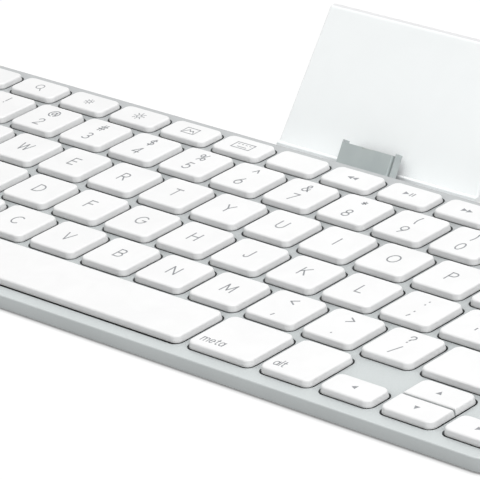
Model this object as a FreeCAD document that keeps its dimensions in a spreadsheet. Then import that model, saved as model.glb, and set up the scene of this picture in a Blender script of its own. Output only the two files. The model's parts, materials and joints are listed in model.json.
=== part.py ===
import FreeCAD, Part
import Sketcher
import os
import re

# A tablet keyboard dock: an aluminium keyboard slab on a wedge, and behind it a leaning tablet rest and a plug.
# Millimetres. +X runs along the key rows, +Y to the back, +Z up. The origin is on the floor, under the middle.

SIZES = {
    # slab
    "deck_tilt": 7.07,
    "front_lift": 0.35,
    "side_margin": 4.3,
    "front_margin": 4.4,
    "back_margin": 3.7,
    "slab_skin": 1.2,
    "slab_wall": 1.8,
    "slab_corner": 8.0,
    "slab_edge": 0.4,
    # keys
    "row_units": 14.5,
    "key_pitch": 19.05,
    "row_pitch": 17.75,
    "front_row_pitch": 20.2,
    "key_gap": 2.8,
    "function_depth": 9.45,
    "arrow_split": 0.25,
    "space_gap": 0.2,
    "cap_corner": 2.0,
    "cap_edge": 0.6,
    "cap_draft": 0.27,
    "cap_proud": 1.8,
    "function_proud": 1.55,
    "cap_sink": 0.05,
    "cap_wall": 1.0,
    "cap_roof": 0.9,
    "key_clearance": 0.5,
    "key_travel": 1.5,
    # key works under the caps
    "press_room": 0.75,
    "membrane_thickness": 0.25,
    "plate_thickness": 0.4,
    "panel_thickness": 0.8,
    "stack_clearance": 0.2,
    "dome_radius": 2.2,
    "dome_top_radius": 1.1,
    "dome_height": 1.1,
    "frame_width": 10.4,
    "frame_room": 0.525,
    "frame_bar": 0.7,
    "frame_height": 0.9,
    "link_gap": 0.2,
    "bar_radius": 0.45,
    "bar_arm_radius": 0.35,
    "bar_arm": 3.0,
    "bar_inset": 4.0,
    # wedge under the slab
    "wedge_inset": 1.2,
    "wedge_wall": 1.8,
    "wedge_nose": 1.0,
    "base_height": 1.0,
    "lid_thickness": 1.6,
    "lid_clearance": 0.15,
    "lid_room": 0.4,
    "boss_radius": 3.0,
    "boss_inset": 9.0,
    "boss_row": 28.0,
    "screw_radius": 1.0,
    "screw_clearance": 0.15,
    "screw_head_radius": 1.9,
    "screw_head_height": 0.8,
    "screw_bite": 2.4,
    "recess_length": 2.3,
    "recess_width": 0.55,
    "recess_depth": 0.45,
    "foot_radius": 5.0,
    "foot_inset": 22.0,
    "foot_row": 9.0,
    "board_width": 62.0,
    "board_depth": 18.0,
    "board_thickness": 1.2,
    "board_back": 8.0,
    "chip_size": 7.0,
    "chip_height": 1.1,
    "tail_width": 14.0,
    "tail_thickness": 0.25,
    "tail_offset": 18.0,
    "ballast_width": 70.0,
    "ballast_depth": 22.0,
    "ballast_height": 4.5,
    "ballast_offset": 53.0,
    "flex_width": 12.0,
    "flex_thickness": 0.3,
    "flex_lap": 5.0,
    # dock
    "dock_width": 71.2,
    "dock_wall": 2.2,
    "dock_edge": 0.7,
    "tray_depth": 11.8,
    "tray_height": 10.9,
    "rib_depth": 0.7,
    "rib_height": 2.4,
    "rib_round": 0.5,
    "rest_lean": 26.0,
    "rest_length": 39.25,
    "rest_taper": 3.14,
    "ridge_radius": 1.5,
    "ridge_drop": 11.0,
    "cover_clearance": 0.15,
    "dock_boss_inset": 6.0,
    "dock_foot_radius": 3.5,
    "dock_board_depth": 20.0,
    "dock_board_gap": 2.0,
    # plug
    "plug_gap": 6.16,
    "plug_height": 9.9,
    "plug_root": 3.6,
    "plug_width": 18.0,
    "plug_thickness": 2.0,
    "plug_skin": 0.35,
    "plug_notch": 3.4,
    "plug_notch_depth": 0.35,
    "guide_back": 1.35,
    "guide_drop": 0.6,
    "ear_reach": 0.65,
    "ear_thickness": 0.45,
    "ear_depth": 2.5,
    "ear_rise": 0.8,
    "ear_round": 0.15,
    "seat_wall": 1.0,
    "slot_clearance": 0.2,
    "contact_count": 30,
    "contact_pitch": 0.5,
    "contact_width": 0.3,
    "contact_thickness": 0.2,
    "contact_length": 10.0,
    # sockets in the back
    "port_width": 22.4,
    "port_height": 3.2,
    "port_skin": 0.5,
    "port_depth": 9.0,
    "port_offset": 9.0,
    "port_level": 12.0,
    "port_tongue": 0.9,
    "port_tongue_length": 6.0,
    "jack_bore_radius": 1.8,
    "jack_radius": 3.0,
    "jack_depth": 9.0,
    "jack_offset": 18.0,
    "fit_gap": 0.1,
}

# Places that follow from the sizes above, as formulas
PLACES = {
    "deck_width": "row_units * key_pitch - key_gap + 2 * side_margin",
    "deck_depth": "front_margin + front_row_pitch + 4 * row_pitch + function_depth + back_margin",
    "press_depth": "cap_sink + key_travel + press_room",
    "slab_thickness": "press_depth + membrane_thickness + plate_thickness + panel_thickness",
    "deck_rise": "front_lift + slab_thickness * cos(deck_tilt)",
    "deck_reach": "deck_depth * cos(deck_tilt) + slab_thickness * sin(deck_tilt)",
    "dock_reach": "tray_depth + rest_length * sin(rest_lean) + ridge_radius * (1 + cos(rest_lean))",
    "front_y": "0 - (deck_reach + dock_reach) / 2",
    "rear_y": "(deck_reach + dock_reach) / 2",
    "deck_back": "front_y + deck_reach",
    "membrane_top": "0 - press_depth",
    "plate_top": "membrane_top - membrane_thickness",
    "panel_top": "plate_top - plate_thickness",
    "half_key": "(front_row_pitch - key_gap - arrow_split) / 2",
    "frame_depth": "row_pitch - key_gap - 2 * (cap_wall + key_clearance + 2 * bar_radius + frame_room)",
    "short_frame_depth": "min(function_depth; half_key) - 2 * (cap_wall + frame_room)",
    "slab_lip": "slab_wall + stack_clearance",
    "nose_lift": "base_height + wedge_nose - front_lift",
    "nose_y": "front_y + slab_thickness * sin(deck_tilt) + nose_lift / tan(deck_tilt)",
    "cavity_y": "nose_y + (lid_thickness + lid_room - wedge_nose) / tan(deck_tilt)",
    "cavity_back": "deck_back - wedge_wall",
    "wedge_width": "deck_width - 2 * wedge_inset",
    "wedge_tall": "deck_rise + deck_depth * sin(deck_tilt)",
    "wedge_corner": "slab_corner - wedge_inset",
    "lid_top": "base_height + lid_thickness",
    "pilot_radius": "screw_radius + screw_clearance",
    "pilot_depth": "screw_bite + screw_clearance",
    "board_top": "lid_top + board_thickness",
    "board_end": "cavity_back - board_back",
    "tail_left": "tail_offset - tail_width / 2",
    "tail_y": "deck_depth - slab_lip - board_back - flex_lap",
    "tail_fall": "deck_rise + tail_y * sin(deck_tilt) - board_top - tail_thickness / 2",
    "tail_drop": "tail_fall / cos(deck_tilt) + plate_top",
    "tail_end": "front_y + tail_y * cos(deck_tilt) - (plate_top - tail_drop) * sin(deck_tilt)",
    "foot_y": "deck_back + tray_depth",
    "foot_z": "tray_height + rib_height",
    "ridge_z": "foot_z + rest_length * cos(rest_lean)",
    "ridge_apex": "foot_z + (rear_y - foot_y) / tan(rest_lean)",
    "cover_top": "ridge_z - ridge_drop",
    "taper_rate": "rest_taper / (rest_length * cos(rest_lean))",
    "floor_width": "dock_width + 2 * taper_rate * foot_z",
    "dock_inside": "dock_width - 2 * taper_rate * (cover_top - foot_z) - 2 * dock_wall",
    "dock_front": "deck_back + dock_wall",
    "tray_under": "tray_height - dock_wall",
    "wall_run": "dock_wall / cos(rest_lean)",
    "dock_boss_x": "dock_inside / 2 - dock_boss_inset",
    "dock_boss_y": "dock_front + dock_boss_inset",
    "plug_y": "foot_y - rib_height * tan(rest_lean) - plug_gap / cos(rest_lean)",
    "plug_tall": "plug_height + plug_root",
    "plug_span": "plug_thickness + fit_gap + guide_back",
    "guide_width": "plug_width + 2 * ear_reach",
    "port_left": "0 - port_offset - port_width / 2",
    "port_low": "port_level - port_height / 2",
    "port_end": "rear_y - port_depth",
}

LETTERS = "abcdefghijklmnopqrstuvwxyz"
DIGITS = "1234567890"
SYMBOLS = ("grave", "minus", "equals", "bracket_left", "bracket_right", "backslash", "semicolon", "quote",
           "comma", "period", "slash")
FUNCTIONS = ["function_%d" % n for n in range(1, 15)]


def units(names):
    return tuple((name, 1) for name in names)


KEY_ROWS = (
    # front edge, depth, keys from left to right as (name, width in key units)
    ("front_margin", "front_row_pitch - key_gap",
     units(("fn", "ctrl", "alt_left")) + (("meta_left", 1.25), ("space", 5), ("meta_right", 1.25))
     + units(("alt_right", "arrow_left", "arrow_up", "arrow_right"))),
    ("front_margin + front_row_pitch", "row_pitch - key_gap",
     (("shift_left", 2.25),) + units("zxcvbnm") + units(("comma", "period", "slash")) + (("shift_right", 2.25),)),
    ("front_margin + front_row_pitch + row_pitch", "row_pitch - key_gap",
     (("caps", 1.75),) + units("asdfghjkl") + units(("semicolon", "quote")) + (("return", 1.75),)),
    ("front_margin + front_row_pitch + 2 * row_pitch", "row_pitch - key_gap",
     (("tab", 1.5),) + units("qwertyuiop") + units(("bracket_left", "bracket_right", "backslash"))),
    ("front_margin + front_row_pitch + 3 * row_pitch", "row_pitch - key_gap",
     units(("grave",)) + units(DIGITS) + units(("minus", "equals")) + (("delete", 1.5),)),
    ("front_margin + front_row_pitch + 4 * row_pitch", "function_depth",
     tuple((name, SIZES["row_units"] / len(FUNCTIONS)) for name in FUNCTIONS)),
)
SINGLE_KEYS = {letter: "key_" + letter for letter in LETTERS}
SINGLE_KEYS["space"] = "space_bar"
SINGLE_KEYS.update({arrow: arrow + "_key" for arrow in ("arrow_left", "arrow_right", "arrow_up", "arrow_down")})

doc = FreeCAD.newDocument("keyboard_dock")
sheet = doc.addObject("Spreadsheet::Sheet", "Dims")
for line, (alias, number) in enumerate(SIZES.items(), 1):
    sheet.set("A%d" % line, alias)
    sheet.set("B%d" % line, "%g" % number)
    sheet.setAlias("B%d" % line, alias)
doc.recompute()

nodes = []


def cells(formula):
    """Write a formula's size names as cells of the sheet, and its place names as their own formulas."""
    def swap(word):
        name = word.group(0)
        if name in PLACES:
            return "(" + cells(PLACES[name]) + ")"
        return "Dims." + name if name in SIZES else name
    return re.sub(r"[a-z_][a-z_0-9]+", swap, str(formula))


def size(formula):
    return float(sheet.evalExpression(cells(formula)))


def bind(solid, **formulas):
    for name, formula in formulas.items():
        solid.setExpression(name, cells(formula))


def move(solid, place):
    for axis, formula in zip("xyz", place):
        solid.setExpression("Placement.Base." + axis, cells(formula))
    return solid


def box(name, extent, corner):
    solid = doc.addObject("Part::Box", name)
    bind(solid, Length=extent[0], Width=extent[1], Height=extent[2])
    return move(solid, corner)


def leaning_box(name, extent, corner, lean):
    """A box whose four sides come in by lean from the bottom to the top."""
    solid = doc.addObject("Part::Wedge", name)
    solid.Placement = FreeCAD.Placement(FreeCAD.Vector(), FreeCAD.Rotation(FreeCAD.Vector(1, 0, 0), 90))
    for axis, length in (("X", extent[0]), ("Z", extent[1])):
        bind(solid, **{axis + "min": "0", axis + "max": length,
                       axis + "2min": lean, axis + "2max": "(%s) - %s" % (length, lean)})
    bind(solid, Ymin="0", Ymax=extent[2])
    return move(solid, (corner[0], "(%s) + (%s)" % (corner[1], extent[1]), corner[2]))


def middle_box(name, extent, front, bottom):
    """A box that is centred on X = 0."""
    return box(name, extent, ("0 - (%s) / 2" % extent[0], front, bottom))


def cylinder(name, radius, length, place, along_y=False):
    solid = doc.addObject("Part::Cylinder", name)
    bind(solid, Radius=radius, Height=length)
    if along_y:
        solid.Placement = FreeCAD.Placement(FreeCAD.Vector(), FreeCAD.Rotation(FreeCAD.Vector(1, 0, 0), -90))
    return move(solid, place)


def cone(name, low, high, length, place):
    solid = doc.addObject("Part::Cone", name)
    bind(solid, Radius1=low, Radius2=high, Height=length)
    return move(solid, place)


def cut(name, base, tool):
    result = doc.addObject("Part::Cut", name)
    result.Base = base
    result.Tool = tool
    return result


def fuse(name, solids):
    result = doc.addObject("Part::MultiFuse", name)
    result.Shapes = solids
    result.Refine = True
    return result


def group(name, solids):
    result = doc.addObject("Part::Compound", name)
    result.Links = solids
    return result


def round_edges(name, base, radius, wanted):
    """Round the edges of base that wanted picks."""
    doc.recompute()
    result = doc.addObject("Part::Fillet", name)
    result.Base = base
    amount = size(radius)
    shape = base.Shape
    result.Edges = [(n, amount, amount) for n, edge in enumerate(shape.Edges, 1) if wanted(edge, shape)]
    return result


def upright(edge, shape):
    ends = [v.Point for v in edge.Vertexes]
    return len(ends) == 2 and abs(ends[0].x - ends[1].x) + abs(ends[0].y - ends[1].y) < 1e-6


def rising(edge, shape):
    return edge.BoundBox.ZLength > shape.BoundBox.ZLength - 1e-6


def rising_behind(edge, shape):
    return rising(edge, shape) and edge.CenterOfMass.y > shape.BoundBox.Center.y


def rising_in_front(edge, shape):
    return rising(edge, shape) and edge.CenterOfMass.y < shape.BoundBox.Center.y


def on_top(edge, shape):
    top = max(vertex.Z for vertex in shape.Vertexes)
    return all(vertex.Z > top - 1e-6 for vertex in edge.Vertexes)


def tilt(solid, angle, place):
    """Lay a solid that was made upright in the frame that is turned about X and starts at place."""
    solid.Placement = FreeCAD.Placement(FreeCAD.Vector(), FreeCAD.Rotation(FreeCAD.Vector(1, 0, 0), 1))
    bind(solid, **{"Placement.Rotation.Angle": angle})
    return move(solid, place)


def on_deck(solid):
    """The deck's frame starts at the slab's front top edge: +Y up the slope, +Z square to the key tops."""
    return tilt(solid, "deck_tilt", ("0", "front_y", "deck_rise"))


def on_plug(solid):
    """The plug's frame starts where the plug's front face meets the tray: +Z along the plug and the rest."""
    return tilt(solid, "0 - rest_lean", ("0", "plug_y", "tray_height"))


def node(label, solid):
    solid.Label = label
    nodes.append(solid)
    return solid


def profile(body, name, role, corners):
    """A closed sketch in an origin plane through corners, each a pair of formulas."""
    sketch = body.newObject("Sketcher::SketchObject", name)
    plane = [f for f in body.Origin.OriginFeatures if f.Role == role][0]
    sketch.AttachmentSupport = [(plane, "")]
    sketch.MapMode = "FlatFace"
    points = [FreeCAD.Vector(size(across), size(up), 0) for across, up in corners]
    count = len(points)
    for n in range(count):
        sketch.addGeometry(Part.LineSegment(points[n], points[(n + 1) % count]))
    for n in range(count):
        sketch.addConstraint(Sketcher.Constraint("Coincident", n, 2, (n + 1) % count, 1))
        for kind, value, formula in zip(("DistanceX", "DistanceY"), points[n], corners[n]):
            row = sketch.addConstraint(Sketcher.Constraint(kind, -1, 1, n, 1, value))
            sketch.setExpression("Constraints[%d]" % row, cells(formula))
    return sketch


# Key table: place and extent of each key in the deck's frame
keys = {}
for front, depth, row_keys in KEY_ROWS:
    start = 0
    for name, wide in row_keys:
        keys[name] = {"left": "(%.9g - row_units / 2) * key_pitch + key_gap / 2" % start,
                      "wide": "%.9g * key_pitch - key_gap" % wide, "front": front, "deep": depth, "units": wide,
                      "proud": "function_proud" if name in FUNCTIONS else "cap_proud"}
        start += wide
keys["arrow_down"] = dict(keys["arrow_up"])
for name in ("arrow_left", "arrow_right", "arrow_down", "arrow_up"):
    keys[name]["deep"] = "half_key"
keys["arrow_up"]["front"] = "front_margin + half_key + arrow_split"
keys["arrow_up"]["corners"] = rising_behind
keys["arrow_down"]["corners"] = rising_in_front


# Key caps: hollow underneath, with sides that lean in, round corners and a small round on the top edge;
# the two middle arrow keys stay square where they face each other
def key_cap(name, key):
    block = leaning_box(name + "_block", (key["wide"], key["deep"], key["proud"] + " + cap_sink"),
                        (key["left"], key["front"], "0 - cap_sink"), "cap_draft")
    plan = round_edges(name + "_plan", block, "cap_corner", key.get("corners", rising))
    crown = round_edges(name + "_crown", plan, "cap_edge", on_top)
    hollow = box(name + "_hollow",
                 ("(%s) - 2 * cap_wall" % key["wide"], "(%s) - 2 * cap_wall" % key["deep"],
                  key["proud"] + " + cap_sink - cap_roof"),
                 ("(%s) + cap_wall" % key["left"], "(%s) + cap_wall" % key["front"], "0 - cap_sink"))
    return on_deck(cut(name + "_cap", crown, hollow))


caps = {name: key_cap(name, key) for name, key in keys.items()}
for name, label in SINGLE_KEYS.items():
    node(label, caps[name])
families = {"digit_keys": DIGITS, "function_keys": FUNCTIONS, "symbol_keys": SYMBOLS}
placed = set(SINGLE_KEYS).union(*families.values())
families["control_keys"] = [name for name in keys if name not in placed]
for label, members in families.items():
    node(label, group(label, [caps[name] for name in members]))


# Aluminium slab with a window for each key; the two middle arrow keys share one
def key_window(name, key):
    extent = ["(%s) + 2 * key_clearance" % key[side] for side in ("wide", "deep")]
    corner = ["(%s) - key_clearance" % key[side] for side in ("left", "front")]
    block = box(name + "_opening", extent + ["2 * slab_skin"], corner + ["0 - 1.5 * slab_skin"])
    return round_edges(name + "_window", block, "cap_corner + key_clearance", upright)


openings = dict(keys)
del openings["arrow_up"]
openings["arrow_down"] = dict(keys["arrow_down"], deep="front_row_pitch - key_gap")
openings["space"] = dict(keys["space"], front="(%s) - space_gap" % keys["space"]["front"],
                         deep="(%s) + space_gap" % keys["space"]["deep"])
windows = group("key_windows", [key_window(name, key) for name, key in openings.items()])
slab_block = middle_box("slab_block", ("deck_width", "deck_depth", "slab_thickness"), "0",
                        "0 - slab_thickness")
slab_plan = round_edges("slab_plan", slab_block, "slab_corner", upright)
slab_round = round_edges("slab_round", slab_plan, "slab_edge", on_top)
slab_pocket = middle_box("slab_pocket",
                         ("deck_width - 2 * slab_wall", "deck_depth - 2 * slab_wall", "slab_thickness"),
                         "slab_wall", "0 - slab_skin - slab_thickness")
slab_pocket_plan = round_edges("slab_pocket_plan", slab_pocket, "slab_corner - slab_wall", upright)
slab_hollow = cut("slab_hollow", slab_round, slab_pocket_plan)
node("top_case", on_deck(cut("top_case", slab_hollow, windows)))


# Sheets of the key stack: they fill the slab's hollow, less a clearance
def stack_sheet(name, thickness, top):
    sheet_block = middle_box(name + "_block", ("deck_width - 2 * slab_lip", "deck_depth - 2 * slab_lip", thickness),
                             "slab_lip", "%s - %s" % (top, thickness))
    return round_edges(name + "_plan", sheet_block, "slab_corner - slab_lip", upright)


def tail_slot(name, top, thickness):
    """A slot that lets the membrane's tail through a sheet of that top and thickness."""
    return box(name, ("tail_width + 4 * tail_thickness", "8 * tail_thickness", "2 * " + thickness),
               ("tail_left - 2 * tail_thickness", "tail_y - 4 * tail_thickness", "%s - 1.5 * %s" % (top, thickness)))


membrane_sheet = stack_sheet("membrane_sheet", "membrane_thickness", "membrane_top")
node("key_membrane", on_deck(membrane_sheet))
plate_sheet = stack_sheet("plate_sheet", "plate_thickness", "plate_top")
plate_slot = tail_slot("plate_slot", "plate_top", "plate_thickness")
node("key_plate", on_deck(cut("key_plate", plate_sheet, plate_slot)))


# Domes and scissor frames: one set under each key, lying at the height they have when the key is down
def scatter(label, pieces):
    """Copies of small solids in the deck's frame: pieces is a list of (object, x, y) with the copy's centre."""
    result = doc.addObject("Part::Feature", label)
    copies = []
    for master, x, y in pieces:
        copy = master.Shape.copy()
        copy.translate(FreeCAD.Vector(x, y, 0))
        copies.append(copy)
    result.Shape = Part.makeCompound(copies)
    return on_deck(result)


def scissor(name, deep):
    """An outer frame and the inner frame that crosses it, as two separate rings on the membrane."""
    rings = []
    for ring, step in (("outer", "0"), ("inner", "(frame_bar + link_gap)")):
        wide = "frame_width - 2 * %s" % step
        long = "%s - 2 * %s" % (deep, step)
        ring_block = box("%s_%s_block" % (name, ring), (wide, long, "frame_height"),
                         ("0 - (%s) / 2" % wide, "0 - (%s) / 2" % long, "membrane_top"))
        ring_hole = box("%s_%s_hole" % (name, ring),
                        ("%s - 2 * frame_bar" % wide, "%s - 2 * frame_bar" % long, "frame_height"),
                        ("0 - (%s) / 2 + frame_bar" % wide, "0 - (%s) / 2 + frame_bar" % long, "membrane_top"))
        rings.append(cut("%s_%s" % (name, ring), ring_block, ring_hole))
    return group(name, rings)


def middle(start, extent):
    return size("(%s) + (%s) / 2" % (start, extent))


centres = {name: (middle(key["left"], key["wide"]), middle(key["front"], key["deep"]))
           for name, key in keys.items()}
room = "%s / 2 - 2 * frame_bar - 2 * link_gap"
on_membrane = ("0", "0", "membrane_top")
domes = {False: cone("dome", "min(dome_radius; %s)" % (room % "frame_depth"), "dome_top_radius", "dome_height", on_membrane),
         True: cone("small_dome", room % "short_frame_depth", "dome_top_radius / 2", "dome_height", on_membrane)}
frames = {False: scissor("scissor", "frame_depth"), True: scissor("short_scissor", "short_frame_depth")}
doc.recompute()
for label, masters in (("rubber_domes", domes), ("scissor_frames", frames)):
    node(label, scatter(label, [(masters[key["deep"] in ("half_key", "function_depth")], *centres[name])
                                for name, key in keys.items()]))


# Stabilizer wires under the wide keys: a long bar with an arm at each end, lying on the membrane
def stabilizer(name, key):
    long = "(%s) - 2 * (cap_wall + bar_inset)" % key["wide"]
    centre = "(%s) + (%s) / 2" % (key["left"], key["wide"])
    back = "(%s) + (%s) - cap_wall - bar_radius - key_clearance" % (key["front"], key["deep"])
    level = "membrane_top + bar_radius"
    bar = cylinder(name + "_bar", "bar_radius", long, ("(%s) - (%s) / 2" % (centre, long), back, level))
    bar.Placement = FreeCAD.Placement(bar.Placement.Base, FreeCAD.Rotation(FreeCAD.Vector(0, 1, 0), 90))
    arms = []
    for side, sign in (("left", "-"), ("right", "+")):
        place = "(%s) %s ((%s) / 2 - 2 * bar_radius)" % (centre, sign, long)
        arms.append(cylinder("%s_%s_arm" % (name, side), "bar_arm_radius", "bar_arm",
                             (place, "(%s) - bar_arm" % back, level), along_y=True))
    return fuse(name + "_wire", [bar] + arms)


wires = [stabilizer(name, key) for name, key in keys.items() if key["units"] >= 1.5]
node("stabilizer_bars", on_deck(group("stabilizer_bars", wires)))

# Bottom cover: a panel that closes the slab and, below it, the walls and bosses of the wedge
boss_x = "wedge_width / 2 - wedge_wall - boss_inset"
boss_places = [("0", "cavity_y + boss_row")]
for side in ("0 - (%s)" % boss_x, boss_x):
    boss_places += [(side, "cavity_y + boss_row"), (side, "cavity_back - boss_inset")]
wedge_block = middle_box("wedge_block", ("wedge_width", "deck_back - nose_y", "wedge_tall"), "nose_y", "base_height")
wedge_cavity = middle_box("wedge_cavity", ("wedge_width - 2 * wedge_wall", "cavity_back - cavity_y", "wedge_tall"),
                          "cavity_y", "base_height - lid_thickness")
bosses = [cylinder("boss_%d" % n, "boss_radius", "wedge_tall", (x, y, "lid_top"))
          for n, (x, y) in enumerate(boss_places)]
wedge_plan = round_edges("wedge_plan", wedge_block, "wedge_corner", upright)
wedge_room = round_edges("wedge_room", wedge_cavity, "wedge_corner - wedge_wall", upright)
wedge_walls = fuse("wedge_walls", [cut("wedge_ring", wedge_plan, wedge_room)] + bosses)
over_slab = middle_box("over_slab", ("2 * deck_width", "3 * deck_depth", "deck_depth"), "0 - deck_depth",
                       "0 - slab_thickness")
wedge_trim = cut("wedge_trim", wedge_walls, on_deck(group("over_slab_group", [over_slab])))
panel_sheet = stack_sheet("panel_sheet", "panel_thickness", "panel_top")
panel = on_deck(cut("panel", panel_sheet, tail_slot("panel_slot", "panel_top", "panel_thickness")))
pilots = [cylinder("pilot_%d" % n, "pilot_radius", "pilot_depth", (x, y, "lid_top"))
          for n, (x, y) in enumerate(boss_places)]


def flex_slot(name, front, depth):
    """The slot in a wall that lets the flat cable through."""
    return middle_box(name, ("flex_width + 2 * stack_clearance", depth, "flex_thickness + 2 * stack_clearance"),
                      front, "board_top - stack_clearance")


wedge_slot = flex_slot("wedge_slot", "deck_back - 2 * wedge_wall", "3 * wedge_wall")
cover_whole = fuse("cover_whole", [wedge_trim, panel])
node("bottom_cover", cut("bottom_cover", cover_whole, group("cover_holes", pilots + [wedge_slot])))


# Lids that are held by screws from below, with their heads sunk
def lid(label, block, places):
    holes = []
    for n, (x, y) in enumerate(places):
        below = (x, y, "base_height - lid_thickness")
        holes.append(cylinder("%s_hole_%d" % (label, n), "pilot_radius", "3 * lid_thickness", below))
        holes.append(cylinder("%s_recess_%d" % (label, n), "screw_head_radius + screw_clearance",
                              "screw_head_height + lid_thickness", below))
    return node(label, cut(label, block, group(label + "_holes", holes)))


def screws(label, places):
    solids = []
    for n, (x, y) in enumerate(places):
        head = cylinder("%s_head_%d" % (label, n), "screw_head_radius", "screw_head_height", (x, y, "base_height"))
        shank = cylinder("%s_shank_%d" % (label, n), "screw_radius", "lid_thickness + screw_bite - screw_head_height",
                         (x, y, "base_height + screw_head_height"))
        slots = [box("%s_slot_%s_%d" % (label, way, n), (wide, deep, "recess_depth"),
                     ("(%s) - %s / 2" % (x, wide), "(%s) - %s / 2" % (y, deep), "base_height"))
                 for way, wide, deep in (("across", "recess_length", "recess_width"),
                                         ("along", "recess_width", "recess_length"))]
        recess = fuse("%s_recess_%d" % (label, n), slots)
        solids.append(cut("%s_screw_%d" % (label, n), fuse("%s_blank_%d" % (label, n), [head, shank]), recess))
    return node(label, group(label, solids))


lid_block = middle_box("lid_block",
                       ("wedge_width - 2 * (wedge_wall + lid_clearance)",
                        "cavity_back - cavity_y - 2 * lid_clearance", "lid_thickness"),
                       "cavity_y + lid_clearance", "base_height")
lid_plan = round_edges("lid_plan", lid_block, "wedge_corner - wedge_wall - lid_clearance", upright)
lid("base_lid", lid_plan, boss_places)
screws("case_screws", boss_places)

# Controller board with its chips, the membrane's tail and the ballast, all on the lid
board = box("board", ("board_width", "board_depth", "board_thickness"),
            ("tail_offset - board_width / 2", "board_end - board_depth", "lid_top"))
chips = [box("chip_%d" % n, ("chip_size", "chip_size", "chip_height"),
             ("tail_offset + (%d) * 2 * chip_size - chip_size / 2" % n,
              "board_end - board_depth + board_thickness", "board_top"))
         for n in (-1, 0, 1)]
node("controller_board", group("controller_board", [board] + chips))
tail_strip = box("tail_strip", ("tail_width", "tail_thickness", "tail_drop"),
                 ("tail_left", "tail_y", "plate_top - tail_drop"))
tail_foot = box("tail_foot", ("tail_width", "flex_lap", "tail_thickness"),
                ("tail_left", "tail_end - flex_lap + 2 * tail_thickness", "board_top"))
node("membrane_tail", fuse("membrane_tail", [on_deck(group("tail_strip_group", [tail_strip])), tail_foot]))
ballast = [box("ballast_" + side, ("ballast_width", "ballast_depth", "ballast_height"),
               (left, "board_end - ballast_depth", "lid_top"))
           for side, left in (("left", "0 - ballast_offset - ballast_width"), ("right", "ballast_offset"))]
node("ballast_bars", group("ballast_bars", ballast))

# Dock moulding: tray, rib, leaning rest and round ridge in one profile, with sides that lean in
body = doc.addObject("PartDesign::Body", "dock_moulding")


def extrude(kind, name, sketch, length):
    """A pad or pocket to both sides of its sketch."""
    result = body.newObject("PartDesign::" + kind, name)
    result.Profile = sketch
    result.SideType = "Symmetric"
    bind(result, Length=length)
    doc.recompute()
    return result


def soften(name, base, radius, wanted):
    """Round the edges whose bounds wanted picks."""
    result = body.newObject("PartDesign::Fillet", name)
    picked = ["Edge%d" % n for n, edge in enumerate(base.Shape.Edges, 1) if wanted(edge.BoundBox)]
    result.Base = (base, picked)
    bind(result, Radius=radius)
    doc.recompute()
    return result


outline = profile(body, "dock_outline", "YZ_Plane", (
    ("deck_back", "base_height"), ("deck_back", "tray_height"), ("foot_y - rib_depth", "tray_height"),
    ("foot_y - rib_depth", "foot_z"), ("foot_y", "foot_z"), ("rear_y", "ridge_apex"), ("rear_y", "base_height")))
extrude("Pad", "dock_solid", outline, "floor_width")
for side, sign in (("left", "0 - "), ("right", "")):
    corners = (("floor_width / 2", "0"), ("floor_width", "0"), ("floor_width", "2 * ridge_apex"),
               ("floor_width / 2 - 2 * taper_rate * ridge_apex", "2 * ridge_apex"))
    slope = profile(body, "%s_slope" % side, "XZ_Plane", [("%s(%s)" % (sign, x), z) for x, z in corners])
    tapered = extrude("Pocket", "%s_taper" % side, slope, "4 * rear_y")
apex_level = size("ridge_apex")
rib_front = size("foot_y - rib_depth")
rib_top = size("foot_z")
cover_level = size("cover_top")
ridge_end = size("floor_width / 2 - taper_rate * ridge_apex")
ridge = soften("ridge_round", tapered, "ridge_radius", lambda b: b.ZMin > apex_level - 1e-4)
rib = soften("rib_round_edge", ridge, "rib_round",
             lambda b: abs(b.YMax - rib_front) < 1e-4 and abs(b.ZMin - rib_top) < 1e-4)
soften("rest_sides", rib, "dock_edge", lambda b: max(b.XMin, -b.XMax) > ridge_end - 1e-4 and b.ZMax > cover_level)
inside = profile(body, "dock_hollow", "YZ_Plane", (
    ("dock_front", "base_height - dock_wall"), ("dock_front", "tray_under"),
    ("foot_y + wall_run + (tray_under - foot_z) * tan(rest_lean)", "tray_under"),
    ("foot_y + wall_run + (cover_top - foot_z) * tan(rest_lean)", "cover_top"),
    ("rear_y + dock_wall", "cover_top"), ("rear_y + dock_wall", "base_height - dock_wall")))
extrude("Pocket", "dock_pocket", inside, "dock_inside")
dock_boss_places = [("0 - dock_boss_x", "dock_boss_y"), ("dock_boss_x", "dock_boss_y")]
dock_bosses = [cylinder("dock_boss_%d" % n, "boss_radius", "tray_under + dock_wall / 2 - lid_top", (x, y, "lid_top"))
               for n, (x, y) in enumerate(dock_boss_places)]
dock_pilots = [cylinder("dock_pilot_%d" % n, "pilot_radius", "pilot_depth", (x, y, "lid_top"))
               for n, (x, y) in enumerate(dock_boss_places)]


# Plug and the guide behind it, in the plug's own leaning frame
def plug_space(name, clearance):
    """The room of the plug and its guide, with clearance all round."""
    grow = " + 2 * " + clearance
    room = middle_box(name, ("guide_width" + grow, "plug_span" + grow, "2 * plug_root"), "0 - " + clearance,
                      "0 - plug_root")
    return on_plug(group(name + "_group", [room]))


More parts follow.
